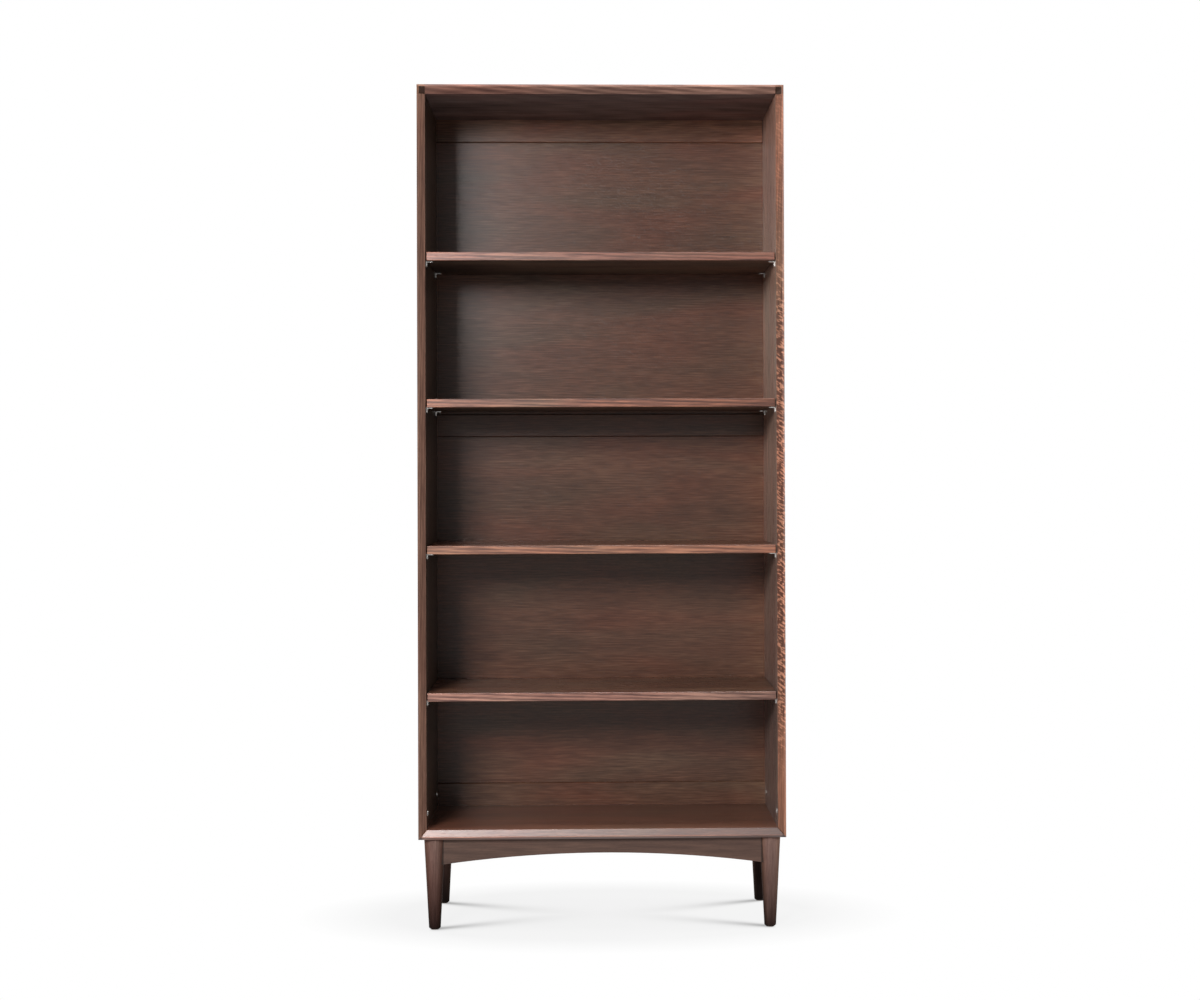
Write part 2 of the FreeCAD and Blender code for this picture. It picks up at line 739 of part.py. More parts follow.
def corner_tongues():
    # loose tongues between the posts and the boards that meet them
    pieces = []
    for side in (-1, 1):
        for upright in (True, False):
            tongue = doc.addObject("Part::Box", "tongue")
            across = "tongue_thickness" if upright else "2 * tongue_reach - 2 * tongue_play"
            tall = "2 * tongue_reach - 2 * tongue_play" if upright else "tongue_thickness"
            bind(tongue, "Length", across)
            bind(tongue, "Width", "case_depth - 2 * tongue_stop - 2 * tongue_play")
            bind(tongue, "Height", tall)
            middle_x = "case_width / 2 - board / 2" if upright else "inner_width / 2"
            middle_z = "ceiling" if upright else "ceiling + level_board / 2"
            put(tongue, f"{side} * ({middle_x}) - ({across}) / 2",
                "tongue_stop + tongue_play - case_depth / 2", f"{middle_z} - ({tall}) / 2")
            pieces.append(tongue)
    return group("corner_tongues", pieces)


def corner_spots():
    # the four columns of corner fittings: side, line from the front and direction inward
    for side in (-1, 1):
        for line in ("hole_front_inset", "rear_hole_line"):
            yield side, line, -side


def corner_cams():
    pieces = []
    for side, line, inward in corner_spots():
        into = Vector(-inward, 0, 0)
        y = f"{line} - case_depth / 2"
        z = "base_height + cam_level"
        face = f"{side} * inner_width / 2"
        drum = put(round_bar("cam_drum", "cam_diameter", "cam_depth - cam_play", into), face, y, z)
        rim = round_bar("cam_rim", "cam_diameter + 2 * cam_rim", "cam_rim_height", -into)
        put(rim, face, y, z)
        socket = doc.addObject("Part::Prism", "cam_socket")
        socket.Polygon = 6
        socket.Placement = Placement(Vector(), Rotation(Vector(0, 0, 1), into))
        bind(socket, "Circumradius", "cam_socket / sqrt(3)")
        bind(socket, "Height", "cam_rim_height + cam_socket_depth")
        put(socket, f"{face} + {inward} * cam_rim_height", y, z)
        pieces.append(bored("corner_cam", fused("cam_blank", [drum, rim]), socket))
    return group("corner_cams", pieces)


def corner_bolts():
    # jointed bolts: upright in the side board, level in the bottom board, hinged at the mitre
    pieces = []
    for side, line, inward in corner_spots():
        x = f"{side} * (case_width / 2 - board / 2)"
        y = f"{line} - case_depth / 2"
        z = "base_height + level_board / 2"
        rise = "cam_level - level_board / 2 - cam_diameter / 2 - cam_play"
        upright = put(round_bar("bolt_shank", "corner_bolt_diameter", rise), x, y, z)
        level = round_bar("bolt_thread", "corner_bolt_diameter",
                          "board / 2 + corner_bolt_reach - cam_play", Vector(inward, 0, 0))
        put(level, x, y, z)
        pieces.append(fused("corner_bolt", [upright, level]))
    return group("corner_bolts", pieces)


def leg_corners():
    for x_side, y_side in ((-1, -1), (1, -1), (1, 1), (-1, 1)):
        yield x_side, y_side, Vector(-x_side, -y_side, 0)


def put_on_diagonal(thing, x_side, y_side, distance):
    # distance from the leg's axis towards the middle of the case, at the hanger bolts' level
    return put(thing, f"{x_side} * (leg_x - ({distance}) * sqrt(0.5))",
               f"{y_side} * (leg_y - ({distance}) * sqrt(0.5))", "base_height - hanger_level")


def hanger_fittings():
    bolts = []
    washers = []
    nuts = []
    start = "(leg_top_diameter / 2 - hanger_grip + hanger_play)"
    tail = "washer_thickness + nut_height + nut_tail"
    for x_side, y_side, inward in leg_corners():
        bolt = round_bar("hanger_bolt", "hanger_diameter", f"block_far + {tail} - {start}", inward)
        bolts.append(put_on_diagonal(bolt, x_side, y_side, start))

        disc = round_bar("washer_blank", "washer_diameter", "washer_thickness", inward)
        put_on_diagonal(disc, x_side, y_side, "block_far")
        hole = round_bar("washer_hole", "hanger_hole", "washer_thickness", inward)
        put_on_diagonal(hole, x_side, y_side, "block_far")
        washers.append(bored("washer", disc, hole))

        hexagon = doc.addObject("Part::Prism", "nut_blank")
        hexagon.Polygon = 6
        hexagon.Placement = Placement(Vector(), Rotation(Vector(0, 0, 1), inward))
        bind(hexagon, "Circumradius", "nut_width / sqrt(3)")
        bind(hexagon, "Height", "nut_height")
        put_on_diagonal(hexagon, x_side, y_side, "block_far + washer_thickness")
        thread = round_bar("nut_hole", "hanger_hole", "nut_height", inward)
        put_on_diagonal(thread, x_side, y_side, "block_far + washer_thickness")
        nuts.append(bored("nut", hexagon, thread))
    return [group("hanger_bolts", bolts), group("hanger_washers", washers), group("hanger_nuts", nuts)]


def base_screws():
    pieces = []
    for x, y in base_screw_spots():
        shank = round_bar("screw_shank", "base_screw_diameter",
                          "block_height + base_screw_grip - base_screw_play")
        put(shank, x, y, "base_height - block_height")
        head = round_bar("screw_head", "base_screw_head", "base_screw_head_height")
        put(head, x, y, "base_height - block_height - base_screw_head_height")
        pieces.append(fused("base_screw", [shank, head]))
    return group("base_screws", pieces)


def foot_glides():
    pieces = []
    for x_side, y_side, inward in leg_corners():
        x = f"{x_side} * leg_x"
        y = f"{y_side} * leg_y"
        disc = put(round_bar("glide_disc", "glide_diameter", "glide_thickness"), x, y, "0")
        nail = round_bar("glide_nail", "glide_nail_diameter",
                         "glide_thickness + glide_nail_length - glide_nail_play")
        put(nail, x, y, "0")
        pieces.append(fused("foot_glide", [disc, nail]))
    return group("foot_glides", pieces)


# ---- the bookcase ----

nodes = [
    side_board("left_side", 1),
    side_board("right_side", -1),
    top_board(),
    bottom_board(),
    corner_post("top_left_post", 1),
    corner_post("top_right_post", -1),
    corner_tongues(),
    back_rail("top_back_rail", "ceiling - rail_height", False, True),
    back_rail("middle_back_rail", "mid_rail_level", True, True),
    back_rail("bottom_back_rail", "floor_board_top", True, False),
    back_panel("upper_back_panel", "(mid_rail_level + rail_height)", "(ceiling - rail_height)"),
    back_panel("lower_back_panel", "(floor_board_top + rail_height)", "mid_rail_level"),
    corner_cams(),
    corner_bolts(),
]

for index in range(shelf_count):
    nodes.append(shelf(f"shelf_{index + 1}", shelf_underside(index)))
    for hand, inward in (("left", 1), ("right", -1)):
        for end, line in (("front", "hole_front_inset"), ("rear", "rear_hole_line")):
            nodes.append(shelf_support(f"support_{index + 1}_{hand}_{end}", inward, line, shelf_hole(index)))

corners = [("front_left", -1, -1, 0), ("front_right", 1, -1, 90),
           ("rear_right", 1, 1, 180), ("rear_left", -1, 1, 270)]
for place, x_side, y_side, turn in corners:
    nodes.append(leg(f"{place}_leg", x_side, y_side, turn))
    nodes.append(corner_block(f"{place}_corner_block", x_side, y_side, turn))

nodes += [
    arched_apron("front_apron", "0", "-leg_y", "leg_x"),
    apron("rear_apron", "0", "leg_y", 180, "leg_x", "plain_apron_depth"),
    apron("left_apron", "-leg_x", "0", -90, "leg_y", "plain_apron_depth"),
    apron("right_apron", "leg_x", "0", 90, "leg_y", "plain_apron_depth"),
    *hanger_fittings(),
    base_screws(),
    foot_glides(),
]

doc.recompute()
for thing in doc.Objects:
    if "Invalid" in thing.State or "Error" in thing.State:
        raise RuntimeError(f"{thing.Label} failed: {thing.State}")
for node in nodes:
    if node.Shape.isNull() or not node.Shape.isValid():
        raise RuntimeError(f"{node.Label} has no valid shape")

os.makedirs("parts", exist_ok=True)
for node in nodes:
    node.Shape.exportStep(f"parts/{node.Label}.step")
    print(node.Label, len(node.Shape.Solids), round(node.Shape.Volume))
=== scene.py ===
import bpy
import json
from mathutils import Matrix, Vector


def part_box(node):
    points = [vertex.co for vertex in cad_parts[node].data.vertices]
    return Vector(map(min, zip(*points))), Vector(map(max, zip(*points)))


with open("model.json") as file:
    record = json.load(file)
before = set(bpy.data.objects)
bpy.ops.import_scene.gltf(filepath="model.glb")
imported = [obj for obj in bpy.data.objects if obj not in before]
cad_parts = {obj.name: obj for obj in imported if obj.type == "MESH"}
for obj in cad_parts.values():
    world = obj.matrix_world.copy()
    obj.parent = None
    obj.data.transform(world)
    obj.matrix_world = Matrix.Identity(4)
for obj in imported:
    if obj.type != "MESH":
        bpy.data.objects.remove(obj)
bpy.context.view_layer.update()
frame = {"nodes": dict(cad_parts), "record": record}

import json
import math

import bmesh
import bpy
from mathutils import Matrix, Vector

print("frame loaded:", len(frame["nodes"]), "nodes")

white = (1.0, 1.0, 1.0)


class Value:
    # a number that varies over a surface, so that shader maths can be written as sums
    def __init__(self, paint, socket):
        self.paint = paint
        self.socket = socket

    def __add__(self, other):
        return self.paint.calculate("ADD", self, other)

    def __radd__(self, other):
        return self.paint.calculate("ADD", other, self)

    def __sub__(self, other):
        return self.paint.calculate("SUBTRACT", self, other)

    def __rsub__(self, other):
        return self.paint.calculate("SUBTRACT", other, self)

    def __mul__(self, other):
        return self.paint.calculate("MULTIPLY", self, other)

    def __rmul__(self, other):
        return self.paint.calculate("MULTIPLY", other, self)

    def __truediv__(self, other):
        return self.paint.calculate("DIVIDE", self, other)

    def __rtruediv__(self, other):
        return self.paint.calculate("DIVIDE", other, self)

    def __pow__(self, other):
        return self.paint.calculate("POWER", self, other)

    def __rpow__(self, other):
        return self.paint.calculate("POWER", other, self)

    def __abs__(self):
        return self.paint.calculate("ABSOLUTE", self)


class Paint:
    # the shader nodes of one material or of the world
    def __init__(self, tree):
        self.nodes = tree.nodes
        self.links = tree.links

    def add(self, kind, settings=None, sockets=None):
        # a new node, with its settings made before its inputs are filled or linked
        node = self.nodes.new("ShaderNode" + kind)
        for name, value in (settings or {}).items():
            if name == "stops":
                setStops(node.color_ramp.elements, value)
            else:
                setattr(node, name, value)
        self.feed(node, sockets or {})
        return node

    def feed(self, node, sockets):
        # an input goes by its name, or by its number where two share a name
        for name, value in sockets.items():
            socket = node.inputs[name]
            if isinstance(value, Value):
                value = value.socket
            if isinstance(value, bpy.types.NodeSocket):
                self.links.new(value, socket)
            else:
                socket.default_value = opaque(value) if socket.type == "RGBA" else value

    def calculate(self, operation, first, second=0.0):
        node = self.add("Math", {"operation": operation}, {0: first, 1: second})
        return Value(self, node.outputs[0])

    def clamp(self, value, low, high):
        # low and high become 0 and 1, and low may be the larger of the two
        node = self.add("MapRange", {"clamp": True}, {"Value": value, "From Min": low, "From Max": high})
        return Value(self, node.outputs["Result"])

    def place(self, offset=(0, 0, 0), scale=(1, 1, 1), turn=(0, 0, 0), kind="POINT"):
        # object coordinates, moved, turned and stretched
        where = self.add("TexCoord").outputs["Object"]
        node = self.add("Mapping", {"vector_type": kind},
                        {"Vector": where, "Location": offset, "Rotation": turn, "Scale": scale})
        return node.outputs["Vector"]

    def noise(self, vector, detail, distortion=0.0):
        node = self.add("TexNoise", None, {"Vector": vector, "Scale": 1.0, "Detail": detail,
                                           "Distortion": distortion})
        return Value(self, node.outputs["Fac"])

    def coordinate(self, axis):
        node = self.add("SeparateXYZ", None, {"Vector": self.add("TexCoord").outputs["Object"]})
        return Value(self, node.outputs[axis])

    def length(self, vector):
        node = self.add("VectorMath", {"operation": "LENGTH"}, {0: vector})
        return Value(self, node.outputs["Value"])

    def facing(self, direction):
        # 1 where the surface faces that way, -1 where it faces the other way
        normal = self.add("TexCoord").outputs["Normal"]
        node = self.add("VectorMath", {"operation": "DOT_PRODUCT"}, {0: normal, 1: direction})
        return Value(self, node.outputs["Value"])

    def mix(self, factor, first, second, blend="MIX"):
        # inputs 6 and 7 and output 2 are the ones for colours
        node = self.add("Mix", {"data_type": "RGBA", "blend_type": blend},
                        {0: factor, 6: first, 7: second})
        return node.outputs[2]

    def dim(self, colour, level):
        node = self.add("VectorMath", {"operation": "SCALE"}, {0: colour, "Scale": level})
        return node.outputs["Vector"]

    def ramp(self, factor, *stops):
        return self.add("ValToRGB", {"stops": stops}, {"Fac": factor}).outputs["Color"]

    def bump(self, height, strength, distance):
        node = self.add("Bump", None, {"Height": height, "Strength": strength, "Distance": distance})
        return node.outputs["Normal"]


def setStops(elements, stops):
    while len(elements) < len(stops):
        elements.new(1.0)
    for element, (position, colour) in zip(elements, stops):
        element.position = position
        element.color = opaque(colour)


def opaque(colour):
    return (*colour, 1.0)


def between(first, second, mask):
    # first where the mask is 0, second where it is 1
    return first + (second - first) * mask


def startPaint(name, sockets):
    material = bpy.data.materials.new(name)
    material.use_nodes = True
    paint = Paint(material.node_tree)
    paint.material = material
    paint.shader = material.node_tree.nodes["Principled BSDF"]
    paint.feed(paint.shader, sockets)
    return paint


def finishPaint(paint, colour, roughness, normal):
    paint.feed(paint.shader, {"Base Color": colour, "Roughness": roughness, "Normal": normal})
    return paint.material


walnut = {
    "dark": (0.040, 0.016, 0.011),
    "brown": (0.102, 0.047, 0.031),
    "light": (0.205, 0.097, 0.063),
    "pore": (0.020, 0.008, 0.0055),
    "poreShare": 0.4,
    "poreEdge": (0.62, 0.72),
    "olive": (0.93, 1.05, 1.00),        # tints of the cooler and the warmer patches
    "russet": (1.12, 0.94, 0.86),
    "patchEdge": (0.3, 0.7),
    "boardShift": (1.37, 2.11, 0.73),   # from one board's patterns to the next board's
    # each pattern: changes in a metre along the grain and across it, detail, distortion
    "patterns": {
        "broad": (1.8, 9, 2, 0.8),
        "streaks": (7, 130, 3, 0.3),
        "fibres": (22, 420, 3, 0.0),
        "pores": (90, 2200, 1, 0.0),
        "patches": (3, 12, 1, 0.5),
        "ringWarp": (2.5, 20, 2, 0.0),
        "ringStrength": (5, 60, 2, 0.0),
    },
    "pithDistance": 0.16,               # from the board to the middle of the tree
    "pithTurn": 1.9,                    # how far round the tree the next board was sawn
    "pithAngles": (0.0, 0.6, 2.1),
    "ringStretch": 1000,                # the rings run nearly straight along the grain
    "ringWarp": 9.0,
    "ringStrength": (0.4, 1.6),         # where they are faintest and boldest
    "ringTone": 0.2,
    "ringsOnFaces": 0.25,               # the share that shows away from the front edges
    # curly figure: a stroke's size along the grain and across it, its detail and distortion
    "strokeSize": (0.0036, 0.012),
    "strokeNoise": (1, 0.3),
    "strokeEdge": (0.50, 0.64),
    "strokeLevel": 0.30,
    "curlRise": (0.08, 0.22),           # shares of the board's length over which it comes and goes
    "curlFall": (0.66, 0.78),
    "curlLeft": 0.15,
    "edgeDepth": 0.025,                 # how far in from its front a board counts as front
    "edgeFade": 0.005,
    "onMiddle": 0.05,                   # a board this near the middle has no inner face
    "flatFacing": (0.85, 0.95),         # how squarely a surface has to face one way to count
    "endFacing": (0.75, 0.95),
    "bevelFacing": (0.74, 0.9),
    "landFacing": (0.97, 0.99),
    "glowRise": (0.25, 0.6),            # shares of the board's length, as for the curl
    "glowFall": (0.7, 0.9),
    "glowLeft": 0.3,
    "farEnd": (0.88, 1.0),
    "depthReach": 0.17,                 # from the middle of the case to its front or back
    "tipFade": 0.0015,
    "tipRoughness": 0.35,
    "seamEdge": (0.0005, 0.0012),       # half widths of the joint line, dark and with its fade
    "seamTone": 0.2,
    "underRoughness": 0.3,
    "fibreRoughness": 0.08,
    "poreRoughness": 0.10,
    "sheenRoughness": 0.3,
    "poreDepth": 0.0001,
    "bumpStrength": 0.4,
    "fibreBump": 0.3,
    "ior": 1.5,
}

# the look of one board: tones as shares of plain walnut, tints, grain, drifts and gloss; many of its
# tones, tints and drifts are painted light and shade
plainLook = {
    "face": 1.0,                    # wide faces
    "front": 1.0,                   # what faces forward
    "inner": 1.0,                   # what faces into the case: painted light on the right side board, painted shade on the left one
    # faces that point down: painted shade under the shelves, painted light under the top panel
    "under": 1.0,
    "end": 0.4,                     # sawn ends
    # the outer bevels: painted highlights, and painted shade on the bottom board's lower bevel
    "bevel": 1.0,
    "land": 1.0,                    # the flat of a front edge, beside its bevel: a painted highlight
    "tips": 1.0,                    # the last few millimetres of a front edge: painted shade where it meets the next part
    "tipLength": 0.0095,
    # tints: the cool front tints of the bottom board, shelves, aprons and legs are partly painted sheen;
    # those on inner faces and undersides are painted light and shade
    "frontTint": white,
    "innerTint": white,
    "underTint": white,
    "glowTint": white,              # painted light on an inner face, two thirds of the way up
    "frontFrom": 0.5,               # where a rounded piece starts to count as front
    "frontTo": 0.68,
    "contrast": 0.6,
    "broad": 0.9,                   # shares of the wide, the narrow and the finest streaks
    "streaks": 0.8,
    "fibres": 0.9,
    "lines": 0.2,                   # how strongly the growth rings show
    "ringSpacing": 0.006,
    "slant": 1.5,                   # degrees between the grain and the board's length
    "curl": 0.0,
    "curlTurn": 0.6,
    "drift": 0.0,                   # painted light and shade: how much lighter the faces grow towards the board's far end
    # painted light and shade on the front edges likewise, except on the top panel, where it is the wood's
    # own tone
    "frontDrift": 0.0,
    "depthDrift": 0.0,              # painted shade: how much lighter the faces grow towards the front of the case
    "farGlow": 0.0,                 # painted light: how much lighter the last few centimetres at the far end are
    "warmth": 0.0,                  # above zero for more russet, below for more olive
    "seam": 0.0,                    # from the board's far end to a fine joint line, where it has one
    "gloss": 0.32,
    "frontGloss": 0.36,
    "shine": 0.3,
    "sheen": 0.0,
}


def alongGrain(axis, along, across):
    sizes = [across] * 3
    sizes["XYZ".index(axis)] = along
    return tuple(sizes)


def walnutFigure(paint, axis, board, look, far, front):
    # board is the board's number, so that no two boards share a figure
    shift = tuple(board * step for step in walnut["boardShift"])
    lean = alongGrain(axis, 0.0, math.radians(look["slant"]))

    def pattern(name):
        along, across, detail, distortion = walnut["patterns"][name]
        return paint.noise(paint.place(shift, alongGrain(axis, along, across), lean), detail, distortion)

    # growth rings: shells round the middle of the tree, which lies outside the board and leans
    pith = [walnut["pithDistance"] * math.cos(board * walnut["pithTurn"] + angle)
            for angle in walnut["pithAngles"]]
    pith["XYZ".index(axis)] = 0.0
    stretch = alongGrain(axis, walnut["ringStretch"], 1)
    shells = paint.length(paint.place(tuple(pith), stretch, lean, "TEXTURE"))
    phase = shells * (2 * math.pi / look["ringSpacing"]) + walnut["ringWarp"] * pattern("ringWarp")
    rings = paint.calculate("SINE", phase) * between(*walnut["ringStrength"], pattern("ringStrength"))

    fibres = pattern("fibres") - 0.5
    shade = (look["broad"] * (pattern("broad") - 0.5) + look["streaks"] * (pattern("streaks") - 0.5)
             + look["fibres"] * fibres)
    showing = between(walnut["ringsOnFaces"], 1.0, front)
    shade = shade + (walnut["ringTone"] * look["lines"]) * rings * showing
    shade = 0.5 + look["contrast"] * shade
    if look["curl"]:
        # curly figure: short slanting strokes that catch the light, strongest halfway along
        size = alongGrain(axis, *walnut["strokeSize"])
        strokes = paint.noise(paint.place(shift, size, (0, look["curlTurn"], 0), "TEXTURE"),
                              *walnut["strokeNoise"])
        strong = (paint.clamp(far, *walnut["curlRise"]) * front
                  * between(1.0, walnut["curlLeft"], paint.clamp(far, *walnut["curlFall"])))
        lift = paint.clamp(strokes, *walnut["strokeEdge"]) - walnut["strokeLevel"]
        shade = shade + look["curl"] * strong * lift
    return shade, fibres, paint.clamp(pattern("pores"), *walnut["poreEdge"]), pattern("patches")


def boardMasks(paint, axis, look, low, high, far):
    # 1 on the named part of a board, 0 elsewhere; low and high are the board's corners
    forward = paint.facing((0.0, -1.0, 0.0))
    edge = low[1] + walnut["edgeDepth"]
    # front edges only, not the walls of the holes further in
    near = paint.clamp(paint.coordinate("Y"), edge + walnut["edgeFade"], edge)
    front = paint.clamp(forward, look["frontFrom"], look["frontTo"]) * near
    centre = (low[0] + high[0]) / 2      # above zero on the right of the case
    inward = -math.copysign(1.0, centre) if abs(centre) > walnut["onMiddle"] else 0.0
    inner = paint.clamp(paint.facing((inward, 0.0, 0.0)), *walnut["flatFacing"])
    # bevel, land, inner, under and glow place painted light and shade; end marks the sawn ends' own
    # darker tone
    return {
        "front": front,
        "bevel": front * (1.0 - paint.clamp(forward, *walnut["bevelFacing"])),
        "land": paint.clamp(forward, *walnut["landFacing"]),
        "inner": inner,
        "under": paint.clamp(paint.facing((0.0, 0.0, -1.0)), *walnut["flatFacing"]),
        "end": paint.clamp(abs(paint.facing(alongGrain(axis, 1.0, 0.0))), *walnut["endFacing"]),
        # painted light on an inner face, two thirds of the way up
        "glow": (inner * paint.clamp(far, *walnut["glowRise"])
                 * between(1.0, walnut["glowLeft"], paint.clamp(far, *walnut["glowFall"]))),
    }


def walnutPaint(name, axis, board, look, low, high):
    paint = startPaint(name, {"IOR": walnut["ior"], "Specular IOR Level": look["shine"],
                              "Sheen Weight": look["sheen"], "Sheen Roughness": walnut["sheenRoughness"]})
    start, end = (corner["XYZ".index(axis)] for corner in (low, high))
    along = paint.coordinate(axis)
    far = paint.clamp(along, start, end)
    masks = boardMasks(paint, axis, look, low, high, far)
    front = masks["front"]
    shade, fibres, pores, patches = walnutFigure(paint, axis, board, look, far, front)

    colour = paint.ramp(shade, (0.0, walnut["dark"]), (0.5, walnut["brown"]), (1.0, walnut["light"]))
    warm = paint.clamp(patches + look["warmth"], *walnut["patchEdge"])
    colour = paint.mix(1.0, colour, paint.mix(warm, walnut["olive"], walnut["russet"]), "MULTIPLY")
    colour = paint.mix(walnut["poreShare"] * pores, colour, walnut["pore"])

    # tones of the parts: painted light and shade on the bevels, lands, inner faces and undersides, and on
    # the legs' sides; the sawn ends' darker tone is the wood's own
    level = between(look["face"], look["front"], front)
    for part in ("bevel", "land", "inner", "under", "end"):
        if look[part] != 1.0:
            level = level * between(1.0, look[part], masks[part])
    # painted light and shade along the board
    level = level * (1.0 + between(look["drift"], look["frontDrift"], front) * (2.0 * far - 1.0))
    # painted light at the far end
    level = level * (1.0 + look["farGlow"] * paint.clamp(far, *walnut["farEnd"]))
    # painted shade towards the back of the case
    nearness = 2.0 * paint.clamp(paint.coordinate("Y"), walnut["depthReach"], -walnut["depthReach"]) - 1.0
    level = level * (1.0 + look["depthDrift"] * (1.0 - front) * nearness)

    roughness = (between(look["gloss"], look["frontGloss"], front)
                 + walnut["underRoughness"] * masks["under"]
                 + walnut["fibreRoughness"] * fibres + walnut["poreRoughness"] * pores)
    # painted shade at the tips of a front edge, where it meets the next part; the tips are rougher too
    if look["tips"] != 1.0:
        fromMiddle = abs(along - (start + end) / 2)
        tip = (end - start) / 2 - look["tipLength"]
        tips = front * paint.clamp(fromMiddle, tip - walnut["tipFade"], tip + walnut["tipFade"])
        level = level * between(1.0, look["tips"], tips)
        roughness = roughness + walnut["tipRoughness"] * tips
    if look["seam"]:
        offset = abs(along - (end - look["seam"]))
        level = level * between(walnut["seamTone"], 1.0, paint.clamp(offset, *walnut["seamEdge"]))
    # tints: painted light and shade on inner faces and undersides, painted light two thirds up an inner
    # face, and partly painted sheen on front edges
    for part in ("front", "inner", "under", "glow"):
        tint = look[part + "Tint"]
        if tint != white:
            colour = paint.mix(masks[part], colour, paint.mix(1.0, colour, tint, "MULTIPLY"))
    relief = paint.bump(walnut["fibreBump"] * fibres - pores, walnut["bumpStrength"], walnut["poreDepth"])
    return finishPaint(paint, paint.dim(colour, level), roughness, relief)


def give(node, material):
    mesh = frame["nodes"][node].data
    mesh.materials.clear()
    mesh.materials.append(material)


# what a group of boards changes in plainLook
# painted highlights on the bevels of the case boards and the posts
sideLook = {"bevel": 1.2, "frontGloss": 0.55, "shine": 0.12, "lines": 0.6, "contrast": 0.9}
postLook = {"end": 0.28, "bevel": 2.2, "frontGloss": 0.55, "shine": 0.12}
# shelves: painted shade underneath, and painted light on the front edges, lighter to the left
shelfLook = {"face": 1.6, "under": 0.6, "underTint": (0.75, 1.05, 1.15), "lines": 0.7, "contrast": 1.7,
             "ringSpacing": 0.008, "gloss": 0.28, "frontGloss": 0.33, "shine": 0.38,
             "frontDrift": -0.1, "warmth": 0.12}
# the back: painted light at its right-hand end
backLook = {"face": 0.94, "front": 0.94, "contrast": 0.8, "broad": 0.6, "streaks": 0.5, "fibres": 1.4,
            "farGlow": 0.4, "gloss": 0.24, "frontGloss": 0.24, "shine": 0.25}
# aprons: painted shade at the tips where they meet the legs, and partly painted sheen in the cool front
# tint
apronLook = {"face": 0.9, "front": 1.0, "frontTint": (1.0, 1.05, 1.22), "frontDrift": 0.15,
             "tips": 0.3, "tipLength": 0.009, "lines": 0.5, "gloss": 0.5, "frontGloss": 0.45,
             "warmth": -0.3}
# legs: painted shade on their sides and towards their feet, and partly painted sheen in the cool front
# tint
legLook = {"face": 0.42, "front": 1.08, "frontFrom": 0.25, "frontTo": 0.95,
           "frontTint": (0.96, 1.14, 1.52), "gloss": 0.6, "frontGloss": 0.58, "shine": 0.04,
           "drift": 0.85, "frontDrift": 0.85, "warmth": -0.1}

# each board's grain direction, and its look
boards = {
    # left side: painted shade on the inner face; right side: painted light on the inner face, growing
    # towards the top, with more two thirds of the way up
    "left_side": ("Z", sideLook | {"face": 1.05, "front": 1.5, "frontTint": (1.0, 1.0, 1.12),
                                   "inner": 0.9, "innerTint": (0.9, 1.25, 1.5), "warmth": -0.3}),
    "right_side": ("Z", sideLook | {"face": 1.05, "front": 2.2, "bevel": 1.3, "curl": 1.9,
                                    "inner": 1.8, "innerTint": (1.0, 1.05, 1.1),
                                    "glowTint": (1.7, 2.3, 2.5), "drift": 0.45,
                                    "frontDrift": -0.05, "warmth": 0.1, "gloss": 0.28, "sheen": 0.09}),
    # top: painted light underneath
    "top_panel": ("X", sideLook | {"face": 1.1, "front": 1.7, "frontTint": (0.97, 1.0, 1.2),
                                   "under": 1.4, "underTint": (1.2, 1.6, 2.3), "frontDrift": 0.3,
                                   "lines": 0.9, "ringSpacing": 0.011, "slant": 5.0, "bevel": 1.6,
                                   "contrast": 1.1, "warmth": -0.25}),
    # bottom: painted sheen on the front edge, lighter to the left, a painted highlight on the land, and
    # painted shade on the lower bevel, at the tips and towards the back
    "bottom_panel": ("X", {"face": 1.6, "front": 1.5, "frontTint": (0.9, 1.01, 1.18),
                           "frontDrift": -0.42, "shine": 1.0, "contrast": 1.0, "bevel": 0.8,
                           "land": 2.2, "tips": 0.45, "depthDrift": 0.4, "warmth": 0.15}),
    "top_left_post": ("Y", postLook),
    "top_right_post": ("Y", postLook),
    # painted light on the top rail and painted shade on the middle rail
    "top_back_rail": ("X", backLook | {"front": 1.2, "seam": 0.0068}),
    "middle_back_rail": ("X", backLook | {"front": 0.72}),
    "bottom_back_rail": ("X", backLook),
    "upper_back_panel": ("X", backLook),
    "lower_back_panel": ("X", backLook),
    # shelves: painted light and sheen on the front edges, strongest to the left
    "shelf_1": ("X", shelfLook | {"front": 2.5, "frontDrift": -0.2, "frontTint": (1.0, 1.0, 1.2),
                                  "warmth": -0.1}),
    "shelf_2": ("X", shelfLook | {"front": 2.1}),
    "shelf_3": ("X", shelfLook | {"front": 1.9, "frontDrift": -0.3, "drift": 0.2}),
    "shelf_4": ("X", shelfLook | {"front": 1.65, "frontDrift": -0.25, "frontTint": (1.0, 1.02, 1.15),
                                  "drift": 0.25}),
    "front_apron": ("X", apronLook),
    "rear_apron": ("X", apronLook),
    "left_apron": ("Y", apronLook),
    "right_apron": ("Y", apronLook),
    "front_left_leg": ("Z", legLook),
    "front_right_leg": ("Z", legLook | {"front": 1.55}),
    # rear legs: painted shade under the case
    "rear_right_leg": ("Z", legLook | {"face": 0.75, "front": 0.35}),
    "rear_left_leg": ("Z", legLook | {"face": 0.75, "front": 0.35}),
}
for board, (node, (axis, changes)) in enumerate(boards.items(), start=1):
    give(node, walnutPaint(f"walnut_{node}", axis, board, plainLook | changes, *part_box(node)))
print("walnut given to", len(boards), "boards")


